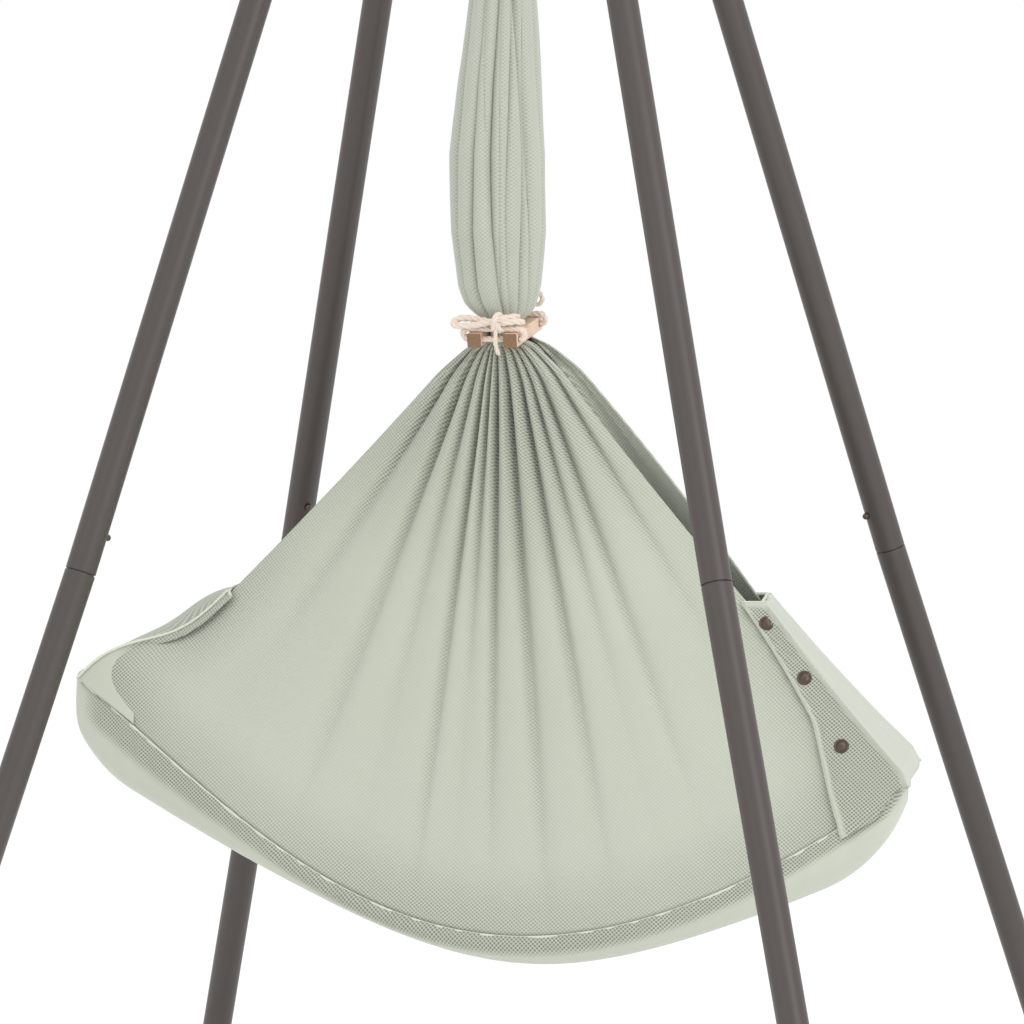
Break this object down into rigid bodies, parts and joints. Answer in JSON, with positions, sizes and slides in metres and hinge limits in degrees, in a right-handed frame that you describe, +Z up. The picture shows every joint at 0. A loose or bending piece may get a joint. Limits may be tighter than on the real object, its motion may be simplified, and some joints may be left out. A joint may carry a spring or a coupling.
{
  "type": "baby swing",
  "caption": "Baby hammock of gathered mesh cloth with a base mattress, tied by a wooden clamp and hung by swivel and spring from a four-legged tube stand.",
  "frame": {"origin": "on the floor under the hub, midway between the four feet", "axes": "+Z up; +X towards the hammock's foot end with the snapped flap; the front panel faces -Y"},
  "size_m": [1.0172, 1.0172, 1.8442],
  "materials": {
    "powder_coat": "satin powder coat",
    "dark_plastic": "matt",
    "black_rubber": "matt",
    "zinc_steel": "zinc plated",
    "spring_steel": "drawn wire",
    "bronze_snap": "antique bronze",
    "air_mesh": "knitted air mesh",
    "pocket_cloth": "plain weave",
    "mattress_foam": "covered foam",
    "webbing": "woven webbing",
    "beech": "sanded",
    "cotton_rope": "twisted cotton"
  },
  "bodies": {
    "stand": {"hub": "powder_coat", "hub_cap": "dark_plastic", "eye_bolt": "zinc_steel", "eye_nut": "zinc_steel", "eye_washer": "zinc_steel", "socket_screws": "zinc_steel", "upper_leg_1": "powder_coat", "upper_leg_2": "powder_coat", "upper_leg_3": "powder_coat", "upper_leg_4": "powder_coat", "lower_leg_1": "powder_coat", "lower_leg_2": "powder_coat", "lower_leg_3": "powder_coat", "lower_leg_4": "powder_coat", "rubber_foot_1": "black_rubber", "rubber_foot_2": "black_rubber", "rubber_foot_3": "black_rubber", "rubber_foot_4": "black_rubber"},
    "top_link": {"top_carabiner": "zinc_steel"},
    "top_gate": {"top_carabiner_gate": "zinc_steel"},
    "swivel_top": {"swivel_head": "zinc_steel", "swivel_bearing": "zinc_steel"},
    "spring_head": {"swivel_eye": "zinc_steel", "spring_top_plug": "zinc_steel", "spring_coil": "spring_steel"},
    "hammock": {"spring_bottom_plug": "zinc_steel", "bottom_carabiner": "zinc_steel", "sling_ring": "zinc_steel", "hanging_strap": "webbing", "sling_bunch": "air_mesh", "front_panel": "air_mesh", "back_panel": "air_mesh", "head_panel": "air_mesh", "base_pocket": "pocket_cloth", "mattress": "mattress_foam", "snap_studs": "bronze_snap", "left_bar": "beech", "right_bar": "beech", "front_lashing": "cotton_rope", "back_lashing": "cotton_rope", "rope_bow": "cotton_rope", "rope_tail": "cotton_rope", "rope_loop": "cotton_rope"},
    "bottom_gate": {"bottom_carabiner_gate": "zinc_steel"},
    "flap": {"foot_flap": "air_mesh", "snap_caps": "bronze_snap"},
    "button_1": {"leg_button_1": "bronze_snap"},
    "button_2": {"leg_button_2": "bronze_snap"},
    "button_3": {"leg_button_3": "bronze_snap"},
    "button_4": {"leg_button_4": "bronze_snap"}
  },
  "joints": [
    {"name": "side_swing", "type": "hinge", "parent": "stand", "child": "top_link", "pos_m": [0, 0, 1.722], "axis": [1, 0, 0], "range_deg": [-6, 6]},
    {"name": "long_swing", "type": "hinge", "parent": "top_link", "child": "swivel_top", "pos_m": [0, 0, 1.6683], "axis": [0, 1, 0], "range_deg": [-8, 8]},
    {"name": "turn", "type": "hinge", "parent": "swivel_top", "child": "spring_head", "pos_m": [0, 0, 1.64], "axis": [0, 0, 1], "continuous": true},
    {"name": "bounce", "type": "slide", "parent": "spring_head", "child": "hammock", "axis": [0, 0, -1], "range_m": [0, 0.08], "stiffness_N_per_m": 700, "springref_m": -0.085, "deforming": ["spring_coil"]},
    {"name": "flap_open", "type": "hinge", "parent": "hammock", "child": "flap", "pos_m": [0.423, 0, 0.456], "axis": [-0.1957, 0.9783, 0.0685], "range_deg": [0, 100]},
    {"name": "top_gate_open", "type": "hinge", "parent": "top_link", "child": "top_gate", "pos_m": [0, -0.013, 1.6852], "axis": [1, 0, 0], "range_deg": [-22, 0], "stiffness_Nm_per_rad": 0.05, "springref_deg": 22.92},
    {"name": "bottom_gate_open", "type": "hinge", "parent": "hammock", "child": "bottom_gate", "pos_m": [0, -0.013, 1.3899], "axis": [1, 0, 0], "range_deg": [-22, 0], "stiffness_Nm_per_rad": 0.05, "springref_deg": 22.92},
    {"name": "button_1_press", "type": "slide", "parent": "stand", "child": "button_1", "axis": [-0.6691, -0.6691, -0.3236], "range_m": [-0.005, 0], "stiffness_N_per_m": 1000, "springref_m": 0.003},
    {"name": "button_2_press", "type": "slide", "parent": "stand", "child": "button_2", "axis": [0.6691, -0.6691, -0.3236], "range_m": [-0.005, 0], "stiffness_N_per_m": 1000, "springref_m": 0.003},
    {"name": "button_3_press", "type": "slide", "parent": "stand", "child": "button_3", "axis": [0.6691, 0.6691, -0.3236], "range_m": [-0.005, 0], "stiffness_N_per_m": 1000, "springref_m": 0.003},
    {"name": "button_4_press", "type": "slide", "parent": "stand", "child": "button_4", "axis": [-0.6691, 0.6691, -0.3236], "range_m": [-0.005, 0], "stiffness_N_per_m": 1000, "springref_m": 0.003}
  ]
}
